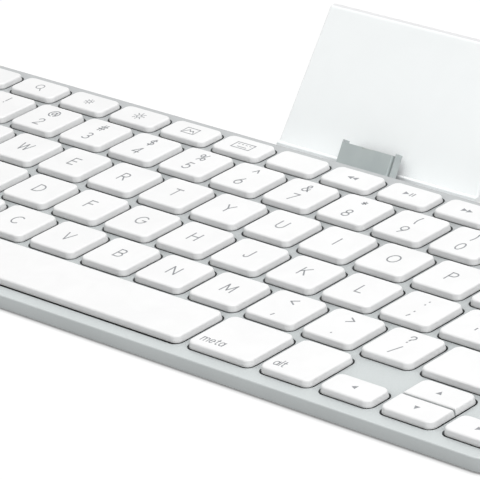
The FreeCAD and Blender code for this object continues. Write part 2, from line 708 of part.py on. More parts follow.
dock_slot = flex_slot("dock_slot", "deck_back - dock_wall", "3 * dock_wall")
dock_whole = fuse("dock_whole", [body] + dock_bosses)
dock_holes = group("dock_holes", dock_pilots + [dock_slot, plug_space("plug_opening", "slot_clearance")])
node("dock_shell", cut("dock_shell", dock_whole, dock_holes))
plug_block = middle_box("plug_block", ("plug_width", "plug_thickness", "plug_tall"), "0", "0 - plug_root")
plug_round = round_edges("plug_round", plug_block, "plug_skin", upright)
plug_bore = middle_box("plug_bore",
                       ("plug_width - 2 * plug_skin", "plug_thickness - 2 * plug_skin", "2 * plug_tall"),
                       "plug_skin", "0 - plug_tall")
plug_notch = middle_box("plug_notch_cut", ("plug_notch", "2 * plug_skin", "2 * plug_notch_depth"),
                        "0 - plug_skin / 2", "plug_height - plug_notch_depth")
plug_cuts = group("plug_cuts", [plug_bore, plug_notch])
node("connector_shell", on_plug(cut("connector_shell", plug_round, plug_cuts)))
guide_plate = middle_box("guide_plate", ("guide_width", "guide_back", "plug_tall - guide_drop"),
                         "plug_span - guide_back", "0 - plug_root")
ears = [box("ear_" + side, ("ear_thickness", "ear_depth", "plug_tall + ear_rise"),
            (left, "plug_span - ear_depth", "0 - plug_root"))
        for side, left in (("left", "0 - guide_width / 2"), ("right", "guide_width / 2 - ear_thickness"))]
guide = fuse("guide", [guide_plate] + ears)
node("connector_guide", on_plug(round_edges("guide_round", guide, "ear_round", on_top)))
contacts = [box("contact_%d" % n, ("contact_width", "contact_thickness", "contact_length"),
                ("(%g - (contact_count - 1) / 2) * contact_pitch - contact_width / 2" % n,
                 "plug_thickness - plug_skin - contact_thickness",
                 "plug_height - contact_length - plug_notch_depth"))
            for n in range(int(size("contact_count")))]
node("connector_contacts", on_plug(group("connector_contacts", contacts)))

# Seat of the plug between the board and the tray
seat_block = middle_box("seat_block", ("guide_width + 2 * dock_wall", "plug_y - dock_front + plug_span + seat_wall",
                                       "tray_under - board_top"), "dock_front + fit_gap", "board_top")
node("connector_seat", cut("connector_seat", seat_block, plug_space("seat_room", "fit_gap")))

# Dock floor, board and flat cable
dock_lid_block = middle_box("dock_lid_block",
                            ("dock_inside - 2 * lid_clearance", "rear_y - dock_wall - dock_front - 2 * lid_clearance",
                             "lid_thickness"), "dock_front + lid_clearance", "base_height")
lid("dock_base", dock_lid_block, dock_boss_places)
screws("dock_screws", dock_boss_places)
node("dock_board", middle_box("dock_board", ("2 * (dock_boss_x - boss_radius - dock_board_gap)", "dock_board_depth",
                                             "board_thickness"), "dock_front + 2 * lid_clearance", "lid_top"))
flex_start = "board_end - flex_lap"
node("dock_flex", middle_box("dock_flex", ("flex_width", "dock_front - (%s)" % flex_start, "flex_thickness"),
                             flex_start, "board_top"))

# Rear cover with the wide socket and the round socket
cover_block = middle_box("cover_block", ("dock_inside - 2 * cover_clearance", "dock_wall",
                                         "cover_top - base_height - cover_clearance"),
                         "rear_y - dock_wall", "base_height")


def port_box(name, grow, depth, start):
    """A box round the wide socket's room, larger by grow all round."""
    return box(name, ("port_width + 2 * (%s)" % grow, depth, "port_height + 2 * (%s)" % grow),
               ("port_left - (%s)" % grow, start, "port_low - (%s)" % grow))


def jack_rod(name, radius, length, start):
    return cylinder(name, radius, length, ("jack_offset", start, "port_level"), along_y=True)


port_hole = port_box("port_hole", "port_skin + fit_gap", "3 * dock_wall", "rear_y - 2 * dock_wall")
jack_hole = jack_rod("jack_hole", "jack_radius + fit_gap", "3 * dock_wall", "rear_y - 2 * dock_wall")
node("rear_cover", cut("rear_cover", cover_block, group("cover_openings", [port_hole, jack_hole])))
port_case = port_box("port_case", "port_skin", "port_depth", "port_end")
port_room = port_box("port_room", "0", "port_depth", "port_end + port_skin")
port_bar = box("port_bar", ("port_width - 2 * port_height", "port_tongue_length", "port_tongue"),
               ("port_left + port_height", "port_end + port_skin / 2", "port_level - port_tongue / 2"))
node("rear_port", fuse("rear_port", [cut("port_tube", port_case, port_room), port_bar]))
jack_barrel = jack_rod("jack_barrel", "jack_radius", "jack_depth", "rear_y - jack_depth")
jack_bore = jack_rod("jack_bore", "jack_bore_radius", "jack_depth", "rear_y - jack_depth + port_skin")
node("audio_jack", cut("audio_jack", jack_barrel, jack_bore))

# Rubber feet under both lids
foot_x = "wedge_width / 2 - wedge_wall - foot_inset"
feet = []
for side, x in (("left", "0 - (%s)" % foot_x), ("right", foot_x)):
    for end, y in (("front", "cavity_y + foot_row"), ("back", "cavity_back - foot_row")):
        feet.append(cylinder("foot_%s_%s" % (side, end), "foot_radius", "base_height", (x, y, "0")))
for side, x in (("left", "0 - dock_boss_x"), ("right", "dock_boss_x")):
    feet.append(cylinder("dock_foot_" + side, "dock_foot_radius", "base_height",
                         (x, "rear_y - dock_wall - dock_boss_inset", "0")))
node("rubber_feet", group("rubber_feet", feet))

# Check the whole document, then write one file for each piece
doc.recompute()
failed = [thing.Name for thing in doc.Objects if "Invalid" in thing.State or "Error" in thing.State]
if failed:
    raise RuntimeError("failed objects: " + ", ".join(failed))
for solid in nodes:
    if solid.Shape.isNull() or not solid.Shape.isValid() or not solid.Shape.Solids:
        raise RuntimeError("bad shape: " + solid.Label)
os.makedirs("parts", exist_ok=True)
for solid in nodes:
    solid.Shape.exportStep("parts/%s.step" % solid.Label)
print("%d nodes, %d keys" % (len(nodes), len(keys)))
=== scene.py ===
import json
import bpy
import numpy as np
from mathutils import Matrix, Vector


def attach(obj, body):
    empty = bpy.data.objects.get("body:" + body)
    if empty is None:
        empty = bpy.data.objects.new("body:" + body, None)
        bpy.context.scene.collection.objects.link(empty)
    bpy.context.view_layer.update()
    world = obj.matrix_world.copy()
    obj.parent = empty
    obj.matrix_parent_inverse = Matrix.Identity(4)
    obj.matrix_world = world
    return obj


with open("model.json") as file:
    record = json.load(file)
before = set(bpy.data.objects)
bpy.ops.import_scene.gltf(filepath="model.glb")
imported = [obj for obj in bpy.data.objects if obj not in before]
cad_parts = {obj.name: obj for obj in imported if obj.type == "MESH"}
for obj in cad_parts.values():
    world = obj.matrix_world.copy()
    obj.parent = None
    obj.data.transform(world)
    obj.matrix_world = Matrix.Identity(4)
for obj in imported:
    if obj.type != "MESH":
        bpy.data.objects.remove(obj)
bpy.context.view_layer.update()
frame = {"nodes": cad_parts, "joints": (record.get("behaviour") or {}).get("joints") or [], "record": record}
nodes = frame["nodes"]
scene = bpy.context.scene
scene.view_settings.view_transform = "Standard"
print("frame loaded,", len(nodes), "nodes")


# a colour given 0 to 255, to linear light by the usual screen curve
def screenColour(red, green, blue):
    share = np.array([red, green, blue]) / 255
    share = np.where(share <= 0.04045, share / 12.92, ((share + 0.055) / 1.055) ** 2.4)
    return (*share.tolist(), 1.0)


# a plain grey of the given linear level
def plainGrey(level):
    return (level, level, level, 1.0)


# camera: stands where the picture was taken, level, with a long lens; lens and sensor in mm, the rest in metres
cameraValues = {"place": (0.633000, -0.684308, 0.336459), "looks": (-0.6419, 0.6900, -0.3344),
                "lens": 283.12, "sensor": 36.0, "near": 0.05, "far": 30.0}


# the turn that takes an object's own -Z along a direction and keeps its Y up
def aim(thing, place, direction):
    thing.location = place
    thing.rotation_mode = "QUATERNION"
    thing.rotation_quaternion = Vector(direction).to_track_quat("-Z", "Y")
    scene.collection.objects.link(thing)


# a camera at its place, aimed along looks
def makeCamera(v):
    lens = bpy.data.cameras.new("pictureCamera")
    lens.lens, lens.sensor_width = v["lens"], v["sensor"]
    lens.clip_start, lens.clip_end = v["near"], v["far"]
    camera = bpy.data.objects.new("pictureCamera", lens)
    aim(camera, v["place"], v["looks"])
    scene.camera = camera


makeCamera(cameraValues)
print("camera placed")


# points and faces as they are, on a new object that stays at the origin
def linkMesh(name, points, faces):
    mesh = bpy.data.meshes.new(name)
    mesh.from_pydata(points.tolist(), [], faces)
    mesh.update()
    made = bpy.data.objects.new(name, mesh)
    scene.collection.objects.link(made)
    return made


# a grid of points (rows, columns, 3) as one sheet: every four neighbours make a face
def gridSheet(name, grid):
    rows, columns = grid.shape[:2]
    number = np.arange(rows * columns).reshape(rows, columns)
    corners = [number[:-1, :-1], number[:-1, 1:], number[1:, 1:], number[1:, :-1]]
    return linkMesh(name, grid.reshape(-1, 3), np.stack(corners, -1).reshape(-1, 4).tolist())


# faces between two equal rings of points, one after the other: a side face for each edge, and both ends closed
def prismFaces(count):
    i = np.arange(count)
    j = (i + 1) % count
    sides = np.stack([i, j, j + count, i + count], -1).tolist()
    return sides + [i[::-1].tolist(), (i + count).tolist()]


# the points of a CAD node's mesh as rows, in metres
def nodePoints(node):
    mesh = nodes[node].data
    spots = np.empty(len(mesh.vertices) * 3, np.float32)
    mesh.vertices.foreach_get("co", spots)
    return spots.reshape(-1, 3).astype(float)


# an empty node material and its tree
def newMaterial(name):
    material = bpy.data.materials.new(name)
    material.use_nodes = True
    material.node_tree.nodes.clear()
    return material, material.node_tree


# a value for an input: another node's output is linked, anything else is set
def feed(tree, socket, value):
    if isinstance(value, bpy.types.NodeSocket):
        tree.links.new(value, socket)
    else:
        socket.default_value = value


# a node of the given kind with its settings, and its inputs fed by name or by number
def addNode(tree, kind, given=None, **settings):
    node = tree.nodes.new(kind)
    for name, value in settings.items():
        setattr(node, name, value)
    for socket, value in (given or {}).items():
        feed(tree, node.inputs[socket], value)
    return node


# values joined by one sum, such as first less second
def joinValues(tree, operation, *values, clamp=False):
    given = dict(enumerate(values))
    return addNode(tree, "ShaderNodeMath", given, operation=operation, use_clamp=clamp).outputs[0]


# a value taken from the range between two ends to 0 to 1
def spreadValue(tree, value, ends, **settings):
    given = {"Value": value, "From Min": ends[0], "From Max": ends[1]}
    return addNode(tree, "ShaderNodeMapRange", given, **settings).outputs["Result"]


# first colour plus the share times the way to the second
def mixColour(tree, share, first, second):
    given = {"Factor": share, "A": first, "B": second}
    return addNode(tree, "ShaderNodeMix", given, data_type="RGBA").outputs["Result"]


# shared effects, each a node group that gives one value varying over the surface
effectValues = {"grainDetail": 2.0, "cloudDetail": 4.0, "cloudBend": 0.6, "cloudEnds": (0.30, 0.70),
                "streakDetail": 3.0, "streakSqueeze": (0.02, 1.0, 1.0), "shadeSamples": 8}


# a node group with numbers as inputs and one number as output
def newGroup(name, inputs, output):
    group = bpy.data.node_groups.new(name, "ShaderNodeTree")
    for label in inputs:
        group.interface.new_socket(label, in_out="INPUT", socket_type="NodeSocketFloat")
    group.interface.new_socket(output, in_out="OUTPUT", socket_type="NodeSocketFloat")
    return group, addNode(group, "NodeGroupInput").outputs, addNode(group, "NodeGroupOutput").inputs[0]


# where a spot is, by the object's own directions
def ownPlace(tree, output="Object"):
    return addNode(tree, "ShaderNodeTexCoord").outputs[output]


# fine grain: noise of the given grains per metre
def makeGrain(v):
    group, given, result = newGroup("fineGrain", ["Grains"], "Grain")
    noise = addNode(group, "ShaderNodeTexNoise",
                    {"Vector": ownPlace(group), "Scale": given["Grains"], "Detail": v["grainDetail"]})
    feed(group, result, noise.outputs["Fac"])
    return group


# soft clouds from handling and moulding: slow noise spread to the full 0 to 1 range
def makeClouds(v):
    group, given, result = newGroup("softClouds", ["Clouds"], "Cloud")
    noise = addNode(group, "ShaderNodeTexNoise",
                    {"Vector": ownPlace(group), "Scale": given["Clouds"], "Detail": v["cloudDetail"],
                     "Distortion": v["cloudBend"]})
    feed(group, result, spreadValue(group, noise.outputs["Fac"], v["cloudEnds"], interpolation_type="SMOOTHSTEP"))
    return group


# brushed lines: noise squeezed across one direction so that it runs in streaks along the other
def makeStreaks(v):
    group, given, result = newGroup("brushedStreaks", ["Lines"], "Streak")
    squeeze = addNode(group, "ShaderNodeMapping", {"Vector": ownPlace(group), "Scale": v["streakSqueeze"]})
    noise = addNode(group, "ShaderNodeTexNoise",
                    {"Vector": squeeze.outputs["Vector"], "Scale": given["Lines"], "Detail": v["streakDetail"]})
    feed(group, result, noise.outputs["Fac"])
    return group


# painted shade in corners: the share that nearby surfaces close in, within the given reach, lessened on faces that
# don't look up by the level times how far they turn away from up; colours and the floor's glow darken by it where
# shade falls
def makePaintedShade(v):
    group, given, result = newGroup("cornerPaintedShade", ["Reach", "Level"], "PaintedShade")
    nearby = addNode(group, "ShaderNodeAmbientOcclusion", {"Distance": given["Reach"]}, samples=v["shadeSamples"])
    closed = joinValues(group, "SUBTRACT", 1.0, nearby.outputs["AO"], clamp=True)
    upward = addNode(group, "ShaderNodeSeparateXYZ", {0: ownPlace(group, "Normal")}).outputs["Z"]
    turned = joinValues(group, "SUBTRACT", 1.0, upward, clamp=True)
    lessened = joinValues(group, "MULTIPLY", turned, given["Level"])
    left = joinValues(group, "SUBTRACT", 1.0, lessened, clamp=True)
    feed(group, result, joinValues(group, "MULTIPLY", closed, left))
    return group


effects = {"Grain": makeGrain(effectValues), "Cloud": makeClouds(effectValues),
           "Streak": makeStreaks(effectValues), "PaintedShade": makePaintedShade(effectValues)}


# the value of a shared effect with its inputs given
def useEffect(tree, output, **given):
    return addNode(tree, "ShaderNodeGroup", given, node_tree=effects[output]).outputs[output]


# 1 for rays from the eye and for reflected or refracted rays, 0 for the rest
def seenByEye(tree):
    rays = addNode(tree, "ShaderNodeLightPath").outputs
    seen = joinValues(tree, "MAXIMUM", rays["Is Camera Ray"], rays["Is Glossy Ray"])
    return joinValues(tree, "MAXIMUM", seen, rays["Is Transmission Ray"])


# floor: the eye and reflections see plain white that still takes a shadow, other light meets a grey; metres
floorValues = {"reach": 4.0, "lines": 9, "drop": 0.0002, "grey": 0.45, "glow": 0.80, "catch": 0.20,
               "contactShadowReach": 0.0018, "contactShadowDepth": 0.7}


# a level sheet; its white is the glow times the share left open close to the object, raised to the near depth,
# which paints a contact shadow there, plus the light that it catches; clear from below, so that the underside
# can be looked at
def makeFloor(v):
    line = np.linspace(-v["reach"], v["reach"], v["lines"])
    x, y = np.meshgrid(line, line)
    floor = gridSheet("floor", np.stack([x, y, np.full_like(x, -v["drop"])], -1))
    material, tree = newMaterial("paleFloor")
    # painted contact shadow: the floor's glow darkens where the object closes it in
    shadeShare = useEffect(tree, "PaintedShade", Reach=v["contactShadowReach"])
    bare = joinValues(tree, "SUBTRACT", 1.0, shadeShare, clamp=True)
    bright = joinValues(tree, "MULTIPLY", joinValues(tree, "POWER", bare, v["contactShadowDepth"]), v["glow"])
    glow = addNode(tree, "ShaderNodeEmission", {"Strength": bright}).outputs[0]
    catch = addNode(tree, "ShaderNodeBsdfDiffuse", {"Color": plainGrey(v["catch"])}).outputs[0]
    grey = addNode(tree, "ShaderNodeBsdfDiffuse", {"Color": plainGrey(v["grey"])}).outputs[0]
    white = addNode(tree, "ShaderNodeAddShader", {0: glow, 1: catch}).outputs[0]
    top = addNode(tree, "ShaderNodeMixShader", {0: seenByEye(tree), 1: grey, 2: white}).outputs[0]
    below = addNode(tree, "ShaderNodeNewGeometry").outputs["Backfacing"]
    clear = addNode(tree, "ShaderNodeBsdfTransparent").outputs[0]
    whole = addNode(tree, "ShaderNodeMixShader", {0: below, 1: top, 2: clear}).outputs[0]
    addNode(tree, "ShaderNodeOutputMaterial", {"Surface": whole})
    floor.data.materials.append(material)


# sky: white for the eye and for reflections, dimmer for other light
skyValues = {"seen": 1.0, "dim": 0.27}


# two even backgrounds, picked by the kind of ray
def makeSky(v):
    world = bpy.data.worlds.new("paleSky")
    scene.world = world
    world.use_nodes = True
    tree = world.node_tree
    tree.nodes.clear()
    seen, dim = [addNode(tree, "ShaderNodeBackground", {"Color": plainGrey(1.0), "Strength": level}).outputs[0]
                 for level in (v["seen"], v["dim"])]
    whole = addNode(tree, "ShaderNodeMixShader", {0: seenByEye(tree), 1: dim, 2: seen}).outputs[0]
    addNode(tree, "ShaderNodeOutputWorld", {"Surface": whole})


# lamp: one soft square to the right and in front, metres and watts
lampValues = {"place": (0.80, -0.52, 2.26), "watts": 69.0, "side": 1.8}


# a square lamp at its place, aimed at the origin
def makeLamp(v):
    light = bpy.data.lights.new("softLamp", "AREA")
    light.energy, light.shape, light.size = v["watts"], "SQUARE", v["side"]
    aim(bpy.data.objects.new("softLamp", light), v["place"], -Vector(v["place"]))


makeFloor(floorValues)
makeSky(skyValues)
makeLamp(lampValues)
print("stage lit")


# finishes: colour, the colour that clouds lead to and the painted shade colour in corners, roughness from low to
# high, grains or streaks per metre and their height in metres; what a finish leaves out comes from finishPlain
finishPlain = {"metal": 0.0, "coat": 0.0, "coatRough": 0.06, "reach": 0.0015, "level": 0.0, "shadeSpread": (0.35, 1.0),
               "cloudShare": 0.5, "fineShare": 0.5}
finishes = {
    # aluminium: painted shade between and behind the caps, and painted shade darker towards the back
    "aluminium": {"colour": (204, 209, 209), "cloudy": (200, 205, 205), "shadedColour": (157, 161, 162),
                  "rough": (0.40, 0.56), "grains": 7000, "height": 1.2e-5, "clouds": 28, "metal": 0.40,
                  "reach": 0.014, "shadeSpread": (0.08, 0.30), "level": 0.65,
                  "backShadeSpan": (-0.045, 0.04), "backShade": (184, 186, 187)},
    # painted shade on the lower walls of the caps
    "key_white": {"colour": (232, 232, 232), "cloudy": (229, 229, 229), "shadedColour": (180, 185, 185),
                  "rough": (0.36, 0.52), "grains": 5200, "height": 0.6e-5, "clouds": 90,
                  "reach": 0.0013, "shadeSpread": (0.18, 0.72)},
    "cover_white": {"colour": (228, 229, 229), "cloudy": (223, 224, 224), "shadedColour": (196, 198, 199),
                    "rough": (0.50, 0.68), "grains": 3600, "height": 2.2e-5, "clouds": 34},
    # painted shade in the tray at the foot of the rest
    "dock_white": {"colour": (246, 249, 249), "cloudy": (244, 247, 247), "shadedColour": (206, 207, 208),
                   "rough": (0.16, 0.27), "grains": 900, "height": 0.2e-5, "clouds": 36, "coat": 0.35,
                   "reach": 0.010, "shadeSpread": (0.28, 0.55)},
    "plug_metal": {"colour": (180, 188, 187), "cloudy": (173, 181, 181), "shadedColour": (164, 171, 171),
                   "rough": (0.36, 0.54), "streaks": 5200, "height": 0.6e-5, "clouds": 110, "metal": 0.15},
    "plug_guide": {"colour": (186, 192, 192), "cloudy": (178, 184, 184), "shadedColour": (132, 137, 138),
                   "rough": (0.44, 0.60), "grains": 5200, "height": 1.0e-5, "clouds": 90, "metal": 0.2},
    "contact_metal": {"colour": (226, 192, 112), "cloudy": (212, 176, 96), "shadedColour": (150, 122, 66),
                      "rough": (0.20, 0.38), "streaks": 6000, "height": 0.4e-5, "clouds": 300, "metal": 1.0},
    "seat_plastic": {"colour": (228, 229, 229), "cloudy": (222, 223, 223), "shadedColour": (180, 181, 182),
                     "rough": (0.48, 0.64), "grains": 4200, "height": 1.4e-5, "clouds": 80},
    "steel": {"colour": (196, 198, 200), "cloudy": (182, 184, 187), "shadedColour": (120, 121, 123),
              "rough": (0.28, 0.46), "streaks": 3600, "height": 0.8e-5, "clouds": 60, "metal": 1.0},
    "film": {"colour": (92, 94, 97), "cloudy": (84, 86, 89), "shadedColour": (60, 62, 64),
             "rough": (0.24, 0.40), "streaks": 900, "height": 0.4e-5, "clouds": 50},
    "dome_rubber": {"colour": (150, 151, 152), "cloudy": (142, 143, 144), "shadedColour": (110, 111, 112),
                    "rough": (0.52, 0.70), "grains": 3800, "height": 1.4e-5, "clouds": 120},
    "scissor_plastic": {"colour": (128, 129, 130), "cloudy": (120, 121, 122), "shadedColour": (90, 91, 92),
                        "rough": (0.42, 0.58), "grains": 4600, "height": 0.8e-5, "clouds": 120},
    "board": {"colour": (38, 112, 72), "cloudy": (30, 98, 62), "shadedColour": (24, 70, 46),
              "rough": (0.30, 0.46), "streaks": 1400, "height": 0.8e-5, "clouds": 160},
    "socket_metal": {"colour": (188, 190, 192), "cloudy": (174, 176, 179), "shadedColour": (112, 114, 116),
                     "rough": (0.26, 0.44), "streaks": 4200, "height": 0.6e-5, "clouds": 120, "metal": 1.0},
    "socket_plastic": {"colour": (70, 71, 73), "cloudy": (62, 63, 65), "shadedColour": (44, 45, 46),
                       "rough": (0.44, 0.60), "grains": 4200, "height": 1.2e-5, "clouds": 120},
    "foot_rubber": {"colour": (188, 190, 191), "cloudy": (178, 180, 182), "shadedColour": (142, 144, 146),
                    "rough": (0.66, 0.84), "grains": 2600, "height": 3.0e-5, "clouds": 140},
    # painted shade grey for the strip over the rest's crest
    "ridgeShadeGrey": {"colour": (219, 219, 220), "cloudy": (214, 214, 215), "shadedColour": (190, 191, 192),
                  "rough": (0.40, 0.56), "grains": 4200, "height": 0.8e-5, "clouds": 60},
    "legendInk": {"colour": (130, 132, 135), "cloudy": (140, 143, 146), "shadedColour": (122, 124, 127),
                  "rough": (0.40, 0.55), "grains": 9000, "height": 0.2e-5, "clouds": 700},
}


# colour goes from plain to cloudy by the clouds, darker towards the back by painted shade where a finish asks, and
# on to the painted shade colour in corners; roughness runs from low to high with the clouds and the grain or streaks,
# each times its share; the grain or streaks are the bump as well
def makeFinish(name, given):
    v = {**finishPlain, **given}
    plain, cloudy, shadedColour = [screenColour(*v[key]) for key in ("colour", "cloudy", "shadedColour")]
    material, tree = newMaterial(name)
    cloud = useEffect(tree, "Cloud", Clouds=v["clouds"])
    shadeShare = useEffect(tree, "PaintedShade", Reach=v["reach"], Level=v["level"])
    if "streaks" in v:
        fine = useEffect(tree, "Streak", Lines=v["streaks"])
    else:
        fine = useEffect(tree, "Grain", Grains=v["grains"])
    shade = mixColour(tree, cloud, plain, cloudy)
    # painted shade: colour darker towards the back
    if "backShadeSpan" in v:
        along = addNode(tree, "ShaderNodeSeparateXYZ", {0: ownPlace(tree)}).outputs["Y"]
        shade = mixColour(tree, spreadValue(tree, along, v["backShadeSpan"]), shade, screenColour(*v["backShade"]))
    # painted shade: colour darker in corners and recesses
    shadeWeight = spreadValue(tree, shadeShare, v["shadeSpread"], interpolation_type="SMOOTHSTEP")
    shade = mixColour(tree, shadeWeight, shade, shadedColour)
    uneven = joinValues(tree, "MULTIPLY_ADD", cloud, v["cloudShare"],
                        joinValues(tree, "MULTIPLY", fine, v["fineShare"]))
    rough = addNode(tree, "ShaderNodeMapRange", {"Value": uneven, "To Min": v["rough"][0], "To Max": v["rough"][1]})
    bump = addNode(tree, "ShaderNodeBump", {"Strength": 1.0, "Distance": v["height"], "Height": fine})
    shader = addNode(tree, "ShaderNodeBsdfPrincipled",
                     {"Base Color": shade, "Roughness": rough.outputs["Result"], "Normal": bump.outputs["Normal"],
                      "Metallic": v["metal"], "Coat Weight": v["coat"], "Coat Roughness": v["coatRough"]})
    addNode(tree, "ShaderNodeOutputMaterial", {"Surface": shader.outputs[0]})
    return material


materials = {name: makeFinish(name, v) for name, v in finishes.items()}
for row in frame["record"]["subparts"]:
    mesh = nodes[row["node"]].data
    mesh.materials.clear()
    mesh.materials.append(materials[row["material_slot"]])
print("finishes on,", len(materials))


# ridge shade: a thin grey strip over the top of the rest, painted shade along its crest; mm and degrees from straight
# up
ridgeValues = {"radius": 1.5, "front": -33.0, "back": 25.0, "proud": 0.02, "sunk": 0.05, "short": 0.5, "crest": 0.3,
               "steps": 14}


# a ring of points carried straight across: the outer arc forward and the inner arc back, as wide as the rest is at its
# crest less the short ends
def makeRidgeShade(v):
    spots = nodePoints("dock_shell")
    top, rear = spots[:, 2].max(), spots[:, 1].max()
    half = np.abs(spots[spots[:, 2] > top - v["crest"] / 1000, 0]).max() - v["short"] / 1000
    turn = np.radians(np.linspace(v["back"], v["front"], v["steps"]))
    turn = np.concatenate([turn, turn[::-1]])
    radius = v["radius"] / 1000
    far = (v["radius"] + np.repeat([v["proud"], -v["sunk"]], v["steps"])) / 1000
    ring = np.column_stack([rear - radius + far * np.sin(turn), top - radius + far * np.cos(turn)])
    points = np.vstack([np.column_stack([np.full(len(ring), side), ring]) for side in (-half, half)])
    piece = linkMesh("ridgeShadeStrip", points, prismFaces(len(ring)))
    piece.data.materials.append(materials["ridgeShadeGrey"])
    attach(piece, "dock")


makeRidgeShade(ridgeValues)
print("ridge line on")


# legends: generic capitals, figures and signs in one thin line; heights, line widths and distances in mm, the gap
# between signs as a share of their height
legendValues = {"letter": 3.8, "figure": 3.6, "sign": 3.4, "word": 2.6, "icon": 2.9, "picture": 3.8, "arrow": 1.9,
                "line": 0.42, "fine": 0.32, "sunk": 0.02, "proud": 0.015,
                "figureShift": -3.0, "signShift": 3.0, "edge": 2.6, "gap": 0.22}
# how lines are drawn: degrees per step and least count of points of an arc, least distance between two points as a
# share of the height, sharpest turn within a stretch in radians, how far a line's ends run on as a share of its
# width, and the least cosine of half a turn
inkValues = {"arcStep": 18, "arcLeast": 4, "apart": 1e-6, "bend": 0.6, "runOn": 0.4, "mitre": 0.6}

